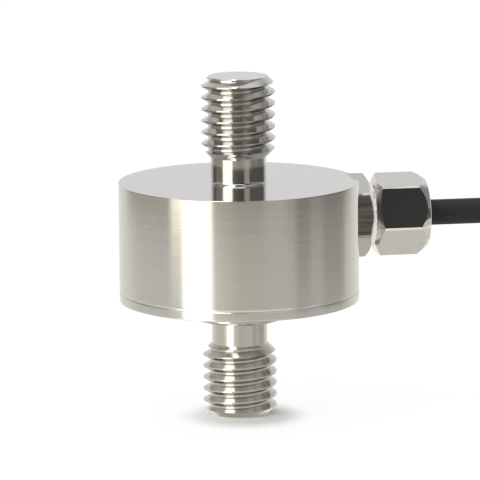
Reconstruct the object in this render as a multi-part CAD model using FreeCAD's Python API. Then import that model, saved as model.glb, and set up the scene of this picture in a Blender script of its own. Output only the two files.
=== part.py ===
# Miniature tension and compression load cell with an M8 stud at each end.
# Millimetres. +Z runs up the studs and +X out along the cable gland.
# The origin is the centre of the lower stud's end face.

import FreeCAD, Part
import math
import os

# The two studs, their necks and the boss at the foot of the lower one
stud_diameter = 8.0
stud_end_chamfer = 0.8
upper_thread_length = 8.8
lower_thread_length = 7.8
neck_diameter = 6.0
neck_height = 2.7
neck_fillet = 0.3
boss_diameter = 10.0
boss_height = 2.0
boss_chamfer = 0.2

# The round body and the base plate welded into its foot
body_diameter = 26.0
ring_height = 12.0
rim_height = 1.0
body_edge_chamfer = 0.2
weld_groove = 0.15
membrane_thickness = 1.6
membrane_fillet = 0.5
wall_thickness = 3.7
hub_diameter = 9.0
spigot_height = 2.0
spigot_clearance = 0.05
overload_gap = 0.1

# The terminal board, which stands on a ledge below the chamber
ledge_width = 0.9
board_thickness = 0.8
board_drop = 5.5
board_clearance = 0.1
board_hub_clearance = 0.9
core_solder_diameter = 0.9
core_solder_flat = 0.7
lead_solder_diameter = 0.5
lead_solder_flat = 0.3
solder_height = 0.4
resistor_length = 1.6
resistor_width = 0.8
resistor_height = 0.45
resistor_cap_length = 0.3
resistor_cap_stand = 0.05
resistor_count = 3
resistor_spacing_angle = 24.0

# The strain gauges under the membrane and their lead wires
gauge_count = 4
gauge_start_angle = 45.0
gauge_clearance = 0.3
gauge_width = 2.0
gauge_backing = 0.08
gauge_foil = 0.04
grid_lines = 6
grid_line_width = 0.12
grid_pitch = 0.24
grid_margin_share = 0.125
tab_length_share = 0.22
tab_width = 0.6
tab_spread = 0.9
lead_wire_diameter = 0.2

# The cable gland
gland_below_top = 4.2
seat_depth = 0.7
seat_diameter = 9.6
hex_across_flats = 8.0
hex_corner_diameter = 9.1
hex_face_diameter = 6.8
hex_chamfer_angle = 30.0
hex_length = 2.1
hex_turn = 9.0
shank_diameter = 5.0
shank_recess = 0.3
shank_clearance = 0.05
spigot_thread_diameter = 6.0
spigot_thread_length = 4.2
spigot_thread_chamfer = 0.25
gland_bore = 3.0
seal_pocket_diameter = 4.6
seal_pocket_depth = 3.2
seal_stand = 0.3
seal_chamfer = 0.3
washer_diameter = 5.6
washer_thickness = 0.4
o_ring_width = 1.0
o_ring_groove_depth = 0.6
o_ring_chamfer = 0.25
nut_gap = 0.2
nut_turn = 18.0
nut_length = 5.95
nut_thread_clearance = 0.05
nut_cone_length = 1.2
nut_cone_angle = 35.0
nut_end_round = 0.35
nut_mouth_chamfer = 0.25

# The cable, its cores and the shield's drain wire
cable_diameter = 2.8
arc_share = 0.45
jacket_inside_gland = 0.3
core_diameter = 0.7
core_offset = 0.45
drain_diameter = 0.4
drain_offset = 1.05
core_pad_angles = {"red": -29.0, "black": 29.0, "green": -14.0, "white": 14.0}
drain_pad_angle = 0.0
core_drop_height = 1.9

# The coil of the cable's unseen length, and its two ties
coil_rows = 6
coil_row_turns = 3.5
coil_mean_radius = 14.8
coil_centre_x = 57.0
lead_end_y = -2.6
coil_edge_chamfer = 1.3
coil_stub_clearance = 0.6
tail_turn_left_out = 0.25
tie_thickness = 0.5
tie_width = 3.0
tie_angles = {"near": 225.0, "far": 45.0}
tie_twist_diameter = 1.2
tie_twist_length = 5.0

# The sleeve at the cable's far end, and its stripped cores
sleeve_wall = 0.2
sleeve_length = 9.0
sleeve_on_jacket = 4.0
core_end_length = 15.0
core_end_spread = {"red": -16.0, "black": 24.0, "green": -3.0, "white": 10.0}
core_tip_diameter = 0.45
core_tip_length = 4.0
core_end_bend_share = 0.45
drain_end_spread = 4.0

# Widths that follow from the body, the hub and their walls
chamber_bore = body_diameter - 2 * wall_thickness
board_pocket_bore = chamber_bore + 2 * ledge_width
board_inner_radius = hub_diameter / 2 + board_hub_clearance
pad_circle_radius = (board_inner_radius + chamber_bore / 2) / 2
gauge_circle_radius = (chamber_bore + hub_diameter) / 4
gauge_room = (chamber_bore - hub_diameter) / 2 - 2 * membrane_fillet
gauge_length = gauge_room - 2 * gauge_clearance
tab_length = tab_length_share * gauge_length
grid_margin = grid_margin_share * gauge_length
grid_length = gauge_length - tab_length - 2 * grid_margin

# Heights above the lower stud's end face
boss_z = lower_thread_length + neck_height
base_z = boss_z + boss_height
joint_z = base_z + rim_height
spigot_top_z = joint_z + spigot_height
top_face_z = joint_z + ring_height
membrane_z = top_face_z - membrane_thickness
ledge_z = membrane_z - board_drop
solder_top_z = ledge_z + solder_height
gland_z = top_face_z - gland_below_top

# Distances from the body's axis along the gland
seat_x = body_diameter / 2 - seat_depth
hex_end_x = seat_x + hex_length
shank_end_x = chamber_bore / 2 + shank_recess
spigot_thread_end_x = hex_end_x + spigot_thread_length
seal_start_x = spigot_thread_end_x - seal_pocket_depth
seal_end_x = spigot_thread_end_x + seal_stand
washer_end_x = seal_end_x + washer_thickness
nut_start_x = hex_end_x + nut_gap
nut_end_x = nut_start_x + nut_length
jacket_end_x = shank_end_x + jacket_inside_gland

# The coil: its turns lie one cable diameter apart, in rows above each other
coil_half_width = coil_row_turns * cable_diameter / 2
coil_outer_line = coil_mean_radius + coil_half_width
coil_centre_y = lead_end_y + coil_outer_line
coil_low_line = tie_thickness + cable_diameter / 2
coil_high_line = coil_low_line + (coil_rows - 1) * cable_diameter
coil_outer_radius = coil_outer_line + cable_diameter / 2
tail_line_radius = coil_outer_line - tail_turn_left_out * cable_diameter

# How far an end runs beside the coil before it stands clear of the outermost turn
lead_stub = coil_stub_clearance + math.sqrt(
    coil_outer_radius ** 2 - (coil_outer_line - cable_diameter / 2) ** 2)
tail_stub = coil_stub_clearance + math.sqrt(
    coil_outer_radius ** 2 - (tail_line_radius - cable_diameter / 2) ** 2)

# The cable's free run from the gland to the coil, and from the coil to its end
lead_route = [
    (nut_end_x, 0.0, gland_z),
    (31.6, 0.0, gland_z),
    (39.6, lead_end_y, coil_high_line),
    (coil_centre_x - lead_stub, lead_end_y, coil_high_line),
]
tail_start_x = coil_centre_x - tail_line_radius
tail_route = [
    (tail_start_x, coil_centre_y - tail_stub, coil_low_line),
    (tail_start_x, -0.6, coil_low_line),
    (41.1, -5.9, 1.8),
    (46.4, -9.0, 1.7),
    (54.6, -9.0, 1.7),
]

UP = FreeCAD.Vector(0, 0, 1)
ORIGIN = FreeCAD.Vector(0, 0, 0)


def turned(outline):
    """A solid of revolution about Z from a closed outline of (radius, height) points."""
    points = [FreeCAD.Vector(radius, 0, height) for radius, height in outline]
    face = Part.Face(Part.makePolygon(points + points[:1]))
    return face.revolve(ORIGIN, UP, 360)


def ring(inner_radius, outer_radius, low, high):
    """A plain ring about Z."""
    outline = [(inner_radius, low), (outer_radius, low), (outer_radius, high), (inner_radius, high)]
    return turned(outline)


def circles_at(solid, radius, height):
    """The circular edges about Z with this radius at this height."""
    found = []
    for edge in solid.Edges:
        is_circle = isinstance(edge.Curve, Part.Circle)
        if is_circle and abs(edge.Curve.Radius - radius) < 1e-4:
            centre = edge.Curve.Center
            if abs(centre.z - height) < 1e-4 and math.hypot(centre.x, centre.y) < 1e-4:
                found.append(edge)
    return found


def stud_outline(shoulder_z, direction, thread_length):
    """Half the outline of a stud: neck, thread run-out, thread and chamfered end."""
    neck = neck_diameter / 2
    crest = stud_diameter / 2
    thread_z = shoulder_z + direction * neck_height
    end_z = thread_z + direction * thread_length
    return [
        (neck, shoulder_z),
        (neck, thread_z),
        (crest, thread_z + direction * (crest - neck)),
        (crest, end_z - direction * stud_end_chamfer),
        (crest - stud_end_chamfer, end_z),
        (0, end_z),
    ]


def along_gland(shape):
    """Turns a piece made about Z so that it lies along the gland's axis."""
    shape.rotate(ORIGIN, FreeCAD.Vector(0, 1, 0), 90)
    shape.translate(FreeCAD.Vector(0, 0, gland_z))
    return shape


def sensing_body():
    """Upper stud, membrane with its hub, and the wall with its port and gland seat."""
    body = body_diameter / 2
    chamber = chamber_bore / 2
    pocket = board_pocket_bore / 2
    hub = hub_diameter / 2
    outline = stud_outline(top_face_z, 1, upper_thread_length)
    outline = outline[::-1] + [
        (body, top_face_z),
        (body, joint_z),
        (pocket, joint_z),
        (pocket, ledge_z),
        (chamber, ledge_z),
        (chamber, membrane_z),
        (hub, membrane_z),
        (hub, spigot_top_z + overload_gap),
        (0, spigot_top_z + overload_gap),
    ]
    solid = turned(outline)
    solid = solid.makeFillet(neck_fillet, circles_at(solid, neck_diameter / 2, top_face_z))
    solid = solid.makeChamfer(body_edge_chamfer, circles_at(solid, body, top_face_z))
    under_membrane = circles_at(solid, chamber, membrane_z) + circles_at(solid, hub, membrane_z)
    solid = solid.makeFillet(membrane_fillet, under_membrane)
    solid = solid.makeChamfer(weld_groove, circles_at(solid, body, joint_z))
    port = Part.makeCylinder(shank_diameter / 2 + shank_clearance, body)
    seat = Part.makeCylinder(seat_diameter / 2, body, FreeCAD.Vector(0, 0, seat_x))
    port = port.cut(Part.makeCylinder(stud_diameter, chamber - membrane_fillet))
    return solid.cut(along_gland(port)).cut(along_gland(seat))


def base_plate():
    """Lower stud, boss, rim and the spigot that centres the plate in the body."""
    body = body_diameter / 2
    boss = boss_diameter / 2
    spigot = board_pocket_bore / 2 - spigot_clearance
    outline = stud_outline(boss_z, -1, lower_thread_length)
    outline = outline[::-1] + [
        (boss - boss_chamfer, boss_z),
        (boss, boss_z + boss_chamfer),
        (boss, base_z),
        (body, base_z),
        (body, joint_z),
        (spigot, joint_z),
        (spigot, spigot_top_z),
        (0, spigot_top_z),
    ]
    solid = turned(outline)
    solid = solid.makeFillet(neck_fillet, circles_at(solid, neck_diameter / 2, boss_z))
    solid = solid.makeChamfer(body_edge_chamfer, circles_at(solid, body, base_z))
    return solid.makeChamfer(weld_groove, circles_at(solid, body, joint_z))


def foil_gauge(angle):
    """A foil gauge bonded under the membrane, with its measuring grid and two solder tabs."""
    inner_end = gauge_circle_radius - gauge_length / 2
    backing_z = membrane_z - gauge_backing
    foil_z = backing_z - gauge_foil
    corner = FreeCAD.Vector(inner_end, -gauge_width / 2, backing_z)
    gauge = Part.makeBox(gauge_length, gauge_width, gauge_backing, corner)
    grid_x = inner_end + grid_margin
    first_y = -grid_pitch * (grid_lines - 1) / 2
    foil = []
    for line in range(grid_lines):
        y = first_y + line * grid_pitch - grid_line_width / 2
        corner = FreeCAD.Vector(grid_x, y, foil_z)
        foil.append(Part.makeBox(grid_length, grid_line_width, gauge_foil, corner))
    for turn in range(grid_lines - 1):
        turn_x = grid_x + grid_length - grid_line_width if turn % 2 else grid_x
        corner = FreeCAD.Vector(turn_x, first_y + turn * grid_pitch, foil_z)
        foil.append(Part.makeBox(grid_line_width, grid_pitch, gauge_foil, corner))
    tab_x = grid_x + grid_length
    for side in (-1, 1):
        y = side * tab_spread / 2 - tab_width / 2
        corner = FreeCAD.Vector(tab_x, y, foil_z)
        foil.append(Part.makeBox(tab_length, tab_width, gauge_foil, corner))
    gauge = gauge.multiFuse(foil).removeSplitter()
    gauge.rotate(ORIGIN, UP, angle)
    return gauge


def on_circle(radius, angle, height):
    """A point about Z in cylindrical measures."""
    turn = math.radians(angle)
    return (radius * math.cos(turn), radius * math.sin(turn), height)


def bent_path(points):
    """Straight runs joined by arcs as large as the shorter of two runs allows, and their radii."""
    corners = [FreeCAD.Vector(*point) for point in points]
    edges = []
    radii = []
    start = corners[0]
    for before, corner, after in zip(corners, corners[1:], corners[2:]):
        run_in = corner - before
        run_out = after - corner
        half_turn = run_in.getAngle(run_out) / 2
        reach = arc_share * min(run_in.Length, run_out.Length)
        way_in = FreeCAD.Vector(run_in).normalize()
        way_out = FreeCAD.Vector(run_out).normalize()
        arc_start = corner - way_in * reach
        arc_end = corner + way_out * reach
        radius = reach / math.tan(half_turn)
        inward = (way_out - way_in).normalize()
        middle = corner + inward * (radius / math.cos(half_turn) - radius)
        edges.append(Part.LineSegment(start, arc_start).toShape())
        edges.append(Part.Arc(arc_start, middle, arc_end).toShape())
        radii.append(radius)
        start = arc_end
    edges.append(Part.LineSegment(start, corners[-1]).toShape())
    return Part.Wire(edges), radii


def tube(points, diameter):
    """A round tube along the bent path through these points."""
    path, radii = bent_path(points)
    start = FreeCAD.Vector(*points[0])
    direction = FreeCAD.Vector(*points[1]) - start
    section = Part.Wire(Part.makeCircle(diameter / 2, start, direction))
    return path.makePipeShell([section], True, False)


def tab_foot(side, height):
    """The point under the middle of a gauge's solder tab at this height."""
    tab_x = gauge_circle_radius + gauge_length / 2 - grid_margin - tab_length / 2
    return FreeCAD.Vector(tab_x, side * tab_spread / 2, height)


def gauge_leads(angle):
    """The two lead wires from a gauge's tabs straight down to the board."""
    foil_z = membrane_z - gauge_backing - gauge_foil
    wires = []
    for side in (-1, 1):
        foot = tab_foot(side, solder_top_z)
        wires.append(Part.makeCylinder(lead_wire_diameter / 2, foil_z - solder_top_z, foot))
    leads = Part.makeCompound(wires)
    leads.rotate(ORIGIN, UP, angle)
    return leads


def gauge_angles():
    """Where the gauges stand about the hub."""
    return [gauge_start_angle + 360 / gauge_count * number for number in range(gauge_count)]


def terminal_board():
    """The ring-shaped board glued against the ledge."""
    outer = board_pocket_bore / 2 - board_clearance
    return ring(board_inner_radius, outer, ledge_z - board_thickness, ledge_z)


def solder_joints():
    """One small flat-topped dome of solder for each wire."""
    joints = []
    for angle in [drain_pad_angle] + list(core_pad_angles.values()):
        place = FreeCAD.Vector(*on_circle(pad_circle_radius, angle, ledge_z))
        foot = core_solder_diameter / 2
        joints.append(Part.makeCone(foot, core_solder_flat / 2, solder_height, place))
    for angle in gauge_angles():
        for side in (-1, 1):
            foot = lead_solder_diameter / 2
            joint = Part.makeCone(foot, lead_solder_flat / 2, solder_height, tab_foot(side, ledge_z))
            joint.rotate(ORIGIN, UP, angle)
            joints.append(joint)
    return Part.makeCompound(joints)


def trim_resistor(angle):
    """A small chip resistor with its two end caps, flat on the board."""
    half = resistor_length / 2
    corner = FreeCAD.Vector(-resistor_width / 2, -half, resistor_cap_stand)
    core_height = resistor_height - 2 * resistor_cap_stand
    chip = Part.makeBox(resistor_width, resistor_length, core_height, corner)
    caps = []
    for start in (-half, half - resistor_cap_length):
        corner = FreeCAD.Vector(-resistor_width / 2 - resistor_cap_stand, start, 0)
        width = resistor_width + 2 * resistor_cap_stand
        caps.append(Part.makeBox(width, resistor_cap_length, resistor_height, corner))
    chip = chip.multiFuse(caps).removeSplitter()
    chip.translate(FreeCAD.Vector(pad_circle_radius, 0, ledge_z))
    chip.rotate(ORIGIN, UP, angle)
    return chip


def core_places():
    """Where each core leaves the jacket, across the cable: (sideways, up)."""
    step = core_offset
    return {"red": (-step, step), "black": (step, step), "green": (-step, -step), "white": (step, -step)}


def inner_core(colour):
    """A core from the end of the jacket down to its pad on the board."""
    across, up = core_places()[colour]
    pad = on_circle(pad_circle_radius, core_pad_angles[colour], solder_top_z)
    route = [
        (jacket_end_x, across, gland_z + up),
        ((jacket_end_x + pad[0]) / 2, across, gland_z + up),
        (pad[0], pad[1], solder_top_z + core_drop_height + up / 2),
        pad,
    ]
    return tube(route, core_diameter)


def inner_drain():
    """The shield's drain wire, from under the cores down to its pad."""
    pad = on_circle(pad_circle_radius, drain_pad_angle, solder_top_z)
    height = gland_z - drain_offset
    route = [(jacket_end_x, 0, height), (pad[0], 0, height), pad]
    return tube(route, drain_diameter)


def hex_block(low, high, turn):
    """A hexagonal prism about Z."""
    radius = hex_across_flats / math.sqrt(3)
    corners = []
    for number in range(7):
        corners.append(FreeCAD.Vector(*on_circle(radius, 60 * number - turn, low)))
    face = Part.Face(Part.makePolygon(corners))
    return face.extrude(FreeCAD.Vector(0, 0, high - low))


def gland_body():
    """Hexagon with a shank screwed into the wall and a spigot under the nut."""
    corner = hex_corner_diameter / 2
    face = hex_face_diameter / 2
    slope = math.tan(math.radians(hex_chamfer_angle))
    limits = [
        (0, seat_x),
        (corner, seat_x),
        (corner, hex_end_x - (corner - face) * slope),
        (face, hex_end_x),
        (0, hex_end_x),
    ]
    hexagon = hex_block(seat_x, hex_end_x, hex_turn).common(turned(limits))
    shank = shank_diameter / 2
    thread = spigot_thread_diameter / 2
    stem = [
        (0, shank_end_x),
        (shank - spigot_thread_chamfer, shank_end_x),
        (shank, shank_end_x + spigot_thread_chamfer),
        (shank, seat_x + o_ring_groove_depth),
        (thread, seat_x + o_ring_groove_depth),
        (thread, spigot_thread_end_x - spigot_thread_chamfer),
        (thread - spigot_thread_chamfer, spigot_thread_end_x),
        (0, spigot_thread_end_x),
    ]
    groove = ring(shank, shank + o_ring_width, seat_x, seat_x + o_ring_groove_depth)
    bore = Part.makeCylinder(gland_bore / 2, spigot_thread_end_x)
    pocket = ring(0, seal_pocket_diameter / 2, seal_start_x, spigot_thread_end_x)
    solid = hexagon.cut(groove).fuse(turned(stem)).cut(bore).cut(pocket)
    return along_gland(solid.removeSplitter())


def gland_o_ring():
    """The O-ring pressed flat in its groove between the hexagon and the seat."""
    inner = shank_diameter / 2
    outer = inner + o_ring_width
    top = seat_x + o_ring_groove_depth
    solid = ring(inner, outer, seat_x, top)
    edges = []
    for radius in (inner, outer):
        edges += circles_at(solid, radius, seat_x) + circles_at(solid, radius, top)
    return along_gland(solid.makeChamfer(o_ring_chamfer, edges))


def gland_seal():
    """The rubber bush that the nut presses on to the cable."""
    inner = cable_diameter / 2
    outer = seal_pocket_diameter / 2
    outline = [
        (inner, seal_start_x),
        (outer - seal_chamfer, seal_start_x),
        (outer, seal_start_x + seal_chamfer),
        (outer, seal_end_x - seal_chamfer),
        (outer - seal_chamfer, seal_end_x),
        (inner, seal_end_x),
    ]
    return along_gland(turned(outline))


def gland_washer():
    """The brass ring that slides on the bush as the nut turns."""
    return along_gland(ring(gland_bore / 2, washer_diameter / 2, seal_end_x, washer_end_x))


def gland_nut():
    """Hexagonal cap nut with a chamfer towards the hexagon and a domed outer end."""
    corner = hex_corner_diameter / 2
    face = hex_face_diameter / 2
    slope = math.tan(math.radians(hex_chamfer_angle))
    dome = math.tan(math.radians(nut_cone_angle))
    cone_start_x = nut_end_x - nut_cone_length
    cone_end_x = nut_end_x - nut_end_round
    cone_end = corner - (cone_end_x - cone_start_x) * dome
    limits = [
        (0, nut_start_x),
        (face, nut_start_x),
        (corner, nut_start_x + (corner - face) * slope),
        (corner, cone_start_x),
        (cone_end, cone_end_x),
        (cone_end, nut_end_x),
        (0, nut_end_x),
    ]
    solid = hex_block(nut_start_x, nut_end_x, nut_turn).common(turned(limits))
    solid = solid.makeFillet(nut_end_round * 0.9, circles_at(solid, cone_end, nut_end_x))
    thread = spigot_thread_diameter / 2 + nut_thread_clearance
    mouth = gland_bore / 2
    hollow = [
        (0, nut_start_x),
        (thread, nut_start_x),
        (thread, washer_end_x),
        (mouth, washer_end_x),
        (mouth, nut_end_x - nut_mouth_chamfer),
        (mouth + nut_mouth_chamfer, nut_end_x),
        (0, nut_end_x),
    ]
    return along_gland(solid.cut(turned(hollow)))


def cable_in_gland():
    """The jacket from inside the body to the nut's outer face."""
    length = nut_end_x - jacket_end_x
    jacket = Part.makeCylinder(cable_diameter / 2, length, FreeCAD.Vector(0, 0, jacket_end_x))
    return along_gland(jacket)


def coil_ring(growth):
    """The coil's round outer shape, grown on every side by this much."""
    half = coil_half_width + cable_diameter / 2 + growth
    inner = coil_mean_radius - half
    outer = coil_mean_radius + half
    low = coil_low_line - cable_diameter / 2 - growth
    high = coil_high_line + cable_diameter / 2 + growth
    solid = ring(inner, outer, low, high)
    edges = []
    for radius in (inner, outer):
        edges += circles_at(solid, radius, low) + circles_at(solid, radius, high)
    solid = solid.makeChamfer(coil_edge_chamfer + growth / 2, edges)
    solid.translate(FreeCAD.Vector(coil_centre_x, coil_centre_y, 0))
    return solid


def cable_coil():
    """The wound length as one solid, with the two straight ends that leave it."""
    radius = cable_diameter / 2
    lead_end = FreeCAD.Vector(*lead_route[-1])
    lead = Part.makeCylinder(radius, lead_stub, lead_end, FreeCAD.Vector(1, 0, 0))
    tail_end = FreeCAD.Vector(*tail_route[0])
    tail = Part.makeCylinder(radius, tail_stub, tail_end, FreeCAD.Vector(0, 1, 0))
    return coil_ring(0).multiFuse([lead, tail])


def coil_tie(angle):
    """A coated wire tie: a band round the bundle, with its twisted ends standing out."""
    span = coil_half_width + cable_diameter / 2 + 2 * tie_thickness
    corner = FreeCAD.Vector(coil_mean_radius - span, -tie_width / 2, -tie_thickness)
    height = coil_high_line + cable_diameter + 2 * tie_thickness
    window = Part.makeBox(2 * span, tie_width, height, corner)
    twist_foot = FreeCAD.Vector(coil_mean_radius + coil_half_width, 0, coil_high_line)
    outward = FreeCAD.Vector(1, 0, 1)
    twist_length = tie_twist_length + cable_diameter / 2
    twist = Part.makeCylinder(tie_twist_diameter / 2, twist_length, twist_foot, outward)
    for piece in (window, twist):
        piece.rotate(ORIGIN, UP, angle)
        piece.translate(FreeCAD.Vector(coil_centre_x, coil_centre_y, 0))
    band = coil_ring(tie_thickness).common(window)
    return band.fuse(twist).cut(coil_ring(0)).removeSplitter()


def end_direction():
    """The way that the cable points where its jacket ends."""
    last = FreeCAD.Vector(*tail_route[-1])
    return (last - FreeCAD.Vector(*tail_route[-2])).normalize()


def end_sleeve():
    """Shrink sleeve over the end of the jacket and the start of the cores."""
    foot = FreeCAD.Vector(*tail_route[-1]) - end_direction() * sleeve_on_jacket
    outer = cable_diameter / 2 + sleeve_wall
    sleeve = Part.makeCylinder(outer, sleeve_length, foot, end_direction())
    inside = Part.makeCylinder(cable_diameter / 2, sleeve_on_jacket, foot, end_direction())
    sleeve = sleeve.cut(inside)
    for across, up in list(core_places().values()) + [(0, -drain_offset)]:
        is_drain = across == 0
        diameter = drain_diameter if is_drain else core_diameter
        start = across_end(across, up)
        room = sleeve_length - sleeve_on_jacket
        sleeve = sleeve.cut(Part.makeCylinder(diameter / 2, room, start, end_direction()))
    return sleeve


def across_end(across, up):
    """A point in the plane of the jacket's cut end."""
    sideways = UP.cross(end_direction())
    return FreeCAD.Vector(*tail_route[-1]) + sideways * across + UP * up


def stripped_end(across, up, diameter, spread, rest_height):
    """The way of a core from the jacket's cut end, through the sleeve and down to the floor."""
    start = across_end(across, up)
    mouth = start + end_direction() * (sleeve_length - sleeve_on_jacket) / (1 - arc_share)
    fan = FreeCAD.Rotation(UP, spread).multVec(end_direction())
    knee = mouth + fan * (core_end_length * core_end_bend_share)
    knee.z = rest_height
    tip = knee + fan * (core_end_length * (1 - core_end_bend_share))
    tip.z = rest_height
    return [tuple(point) for point in (start, mouth, knee, tip)]


def core_end(colour):
    """A coloured core at the cable's far end, with its bare tinned tip."""
    across, up = core_places()[colour]
    spread = core_end_spread[colour]
    route = stripped_end(across, up, core_diameter, spread, core_diameter / 2)
    insulation = tube(route, core_diameter)
    last = FreeCAD.Vector(*route[-1])
    way = (last - FreeCAD.Vector(*route[-2])).normalize()
    tip = Part.makeCylinder(core_tip_diameter / 2, core_tip_length, last, way)
    return insulation.fuse(tip)


def drain_end():
    """The bare drain wire at the cable's far end."""
    route = stripped_end(0, -drain_offset, drain_diameter, drain_end_spread, drain_diameter / 2)
    return tube(route, drain_diameter)


def all_pieces():
    """Every piece by its name."""
    pieces = {
        "sensing_body": sensing_body(),
        "base_plate": base_plate(),
        "terminal_board": terminal_board(),
        "solder_joints": solder_joints(),
    }
    for number, angle in enumerate(gauge_angles(), start=1):
        pieces[f"strain_gauge_{number}"] = foil_gauge(angle)
        pieces[f"gauge_leads_{number}"] = gauge_leads(angle)
    for number in range(resistor_count):
        angle = 180 + resistor_spacing_angle * (number - (resistor_count - 1) / 2)
        pieces[f"trim_resistor_{number + 1}"] = trim_resistor(angle)
    for colour in core_pad_angles:
        pieces[f"core_{colour}"] = inner_core(colour)
        pieces[f"core_end_{colour}"] = core_end(colour)
    pieces["drain_wire"] = inner_drain()
    pieces["drain_wire_end"] = drain_end()
    pieces["gland_body"] = gland_body()
    pieces["gland_o_ring"] = gland_o_ring()
    pieces["gland_seal"] = gland_seal()
    pieces["gland_washer"] = gland_washer()
    pieces["gland_nut"] = gland_nut()
    pieces["cable_in_gland"] = cable_in_gland()
    pieces["cable_lead"] = tube(lead_route, cable_diameter)
    pieces["cable_coil"] = cable_coil()
    pieces["cable_tail"] = tube(tail_route, cable_diameter)
    for place, angle in tie_angles.items():
        pieces[f"coil_tie_{place}"] = coil_tie(angle)
    pieces["end_sleeve"] = end_sleeve()
    return pieces


def print_cord(name, route, solid):
    """The arc radii of a free run of cable, and its volume against section times length."""
    path, radii = bent_path(route)
    section = math.pi * cable_diameter ** 2 / 4
    print(name, "arc radii", [round(radius, 1) for radius in radii])
    print(name, "volume", round(solid.Volume, 2), "section times length", round(section * path.Length, 2))


pieces = all_pieces()
os.makedirs("parts", exist_ok=True)
for name, shape in pieces.items():
    shape.exportStep(f"parts/{name}.step")
print_cord("cable_lead", lead_route, pieces["cable_lead"])
print_cord("cable_tail", tail_route, pieces["cable_tail"])
print(len(pieces), "pieces")
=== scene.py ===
import math

import bpy
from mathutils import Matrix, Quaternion, Vector


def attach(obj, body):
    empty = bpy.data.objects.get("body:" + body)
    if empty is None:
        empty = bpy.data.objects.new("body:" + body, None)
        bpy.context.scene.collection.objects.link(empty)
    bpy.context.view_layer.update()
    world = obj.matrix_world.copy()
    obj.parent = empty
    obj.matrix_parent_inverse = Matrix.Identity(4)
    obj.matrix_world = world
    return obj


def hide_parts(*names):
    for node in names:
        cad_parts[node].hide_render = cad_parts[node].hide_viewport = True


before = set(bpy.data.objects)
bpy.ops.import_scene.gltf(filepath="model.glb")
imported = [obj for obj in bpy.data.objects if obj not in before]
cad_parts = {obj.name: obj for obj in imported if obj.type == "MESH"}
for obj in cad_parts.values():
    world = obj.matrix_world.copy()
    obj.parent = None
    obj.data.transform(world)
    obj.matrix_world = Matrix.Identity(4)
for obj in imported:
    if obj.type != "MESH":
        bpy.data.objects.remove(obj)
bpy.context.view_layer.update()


# The camera
# A long lens half a metre away looks down on the part by ten degrees. It stands to one side,
# so that the gland points away to the right.
mm = 0.001
view_turn = math.radians(9.67)
view_rise = math.radians(10.261)
view_roll = math.radians(-0.434)
view_distance = 497.9 * mm
view_lens = 344.6
aim_height = 19.02 * mm
aim_shift = 0.105 * mm

up = Vector((0, 0, 1))
level_right = Vector((math.cos(view_turn), -math.sin(view_turn), 0))
level_forward = Vector((math.sin(view_turn), math.cos(view_turn), 0))
forward = level_forward * math.cos(view_rise) - up * math.sin(view_rise)
camera_place = up * aim_height + level_right * aim_shift - forward * view_distance
camera_facing = forward.to_track_quat("-Z", "Y") @ Quaternion((0, 0, 1), view_roll)
bpy.ops.object.camera_add(location=camera_place, rotation=camera_facing.to_euler())
bpy.context.scene.camera = bpy.context.object
bpy.context.object.data.lens = view_lens


# The cable
# Four insulated cores and a shield in a black jacket. It leaves the nut level, sinks a little
# and is wound into a round coil of six rows, which two wire ties hold.
cable_diameter = 2.8 * mm
gland_height = 21.3
nut_end = 20.55
coil_rows = 6
coil_row_turns = 3.5
coil_turn_points = 20
coil_last_turn = 20.75
coil_drop_turns = 0.8
coil_centre = (57.0, 17.1)
coil_inner_line = 9.9
coil_top_line = 15.9
coil_pitch = 2.8
lead_route = [
    (nut_end, 0.0, gland_height),
    (24.0, 0.0, gland_height),
    (31.6, 0.0, gland_height),
    (39.6, -2.6, coil_top_line),
    (45.9, -2.6, coil_top_line),
]
tail_route = [
    (38.0, 4.9, 1.9),
    (38.0, -0.6, 1.9),
    (41.1, -5.9, 1.8),
    (46.4, -9.0, 1.7),
    (54.6, -9.0, 1.7),
]


def eased(share):
    """A share from 0 to 1 that starts and stops softly."""
    share = min(max(share, 0.0), 1.0)
    return share * share * (3 - 2 * share)


def coil_point(turn):
    """Where the cable lies after this many turns, inwards and outwards by rows."""
    wound = abs((turn / coil_row_turns) % 2 - 1) * coil_row_turns
    radius = coil_inner_line + wound * coil_pitch
    rows_down = 0.0
    for row in range(1, coil_rows):
        rows_down += eased((turn - row * coil_row_turns) / coil_drop_turns + 0.5)
    angle = math.radians(360 * turn - 90)
    x = coil_centre[0] + radius * math.cos(angle)
    y = coil_centre[1] + radius * math.sin(angle)
    return (x, y, coil_top_line - rows_down * coil_pitch)


def cord_curve(name, points, diameter, resolution):
    """A round cord along one smooth line, guided by points in millimetres."""
    line = bpy.data.curves.new(name, "CURVE")
    line.dimensions = "3D"
    line.resolution_u = resolution
    line.bevel_depth = diameter / 2
    line.bevel_resolution = 3
    line.use_fill_caps = True
    spline = line.splines.new("NURBS")
    spline.points.add(len(points) - 1)
    for control, place in zip(spline.points, points):
        control.co = (*(Vector(place) * mm), 1)
    spline.order_u = 3
    spline.use_endpoint_u = True
    cord = bpy.data.objects.new(name, line)
    bpy.context.collection.objects.link(cord)
    return cord


coil_steps = round(coil_last_turn * coil_turn_points)
coil_route = [coil_point(step / coil_turn_points) for step in range(coil_steps + 1)]
cable = cord_curve("cable", lead_route + coil_route + tail_route, cable_diameter, resolution=4)


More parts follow.
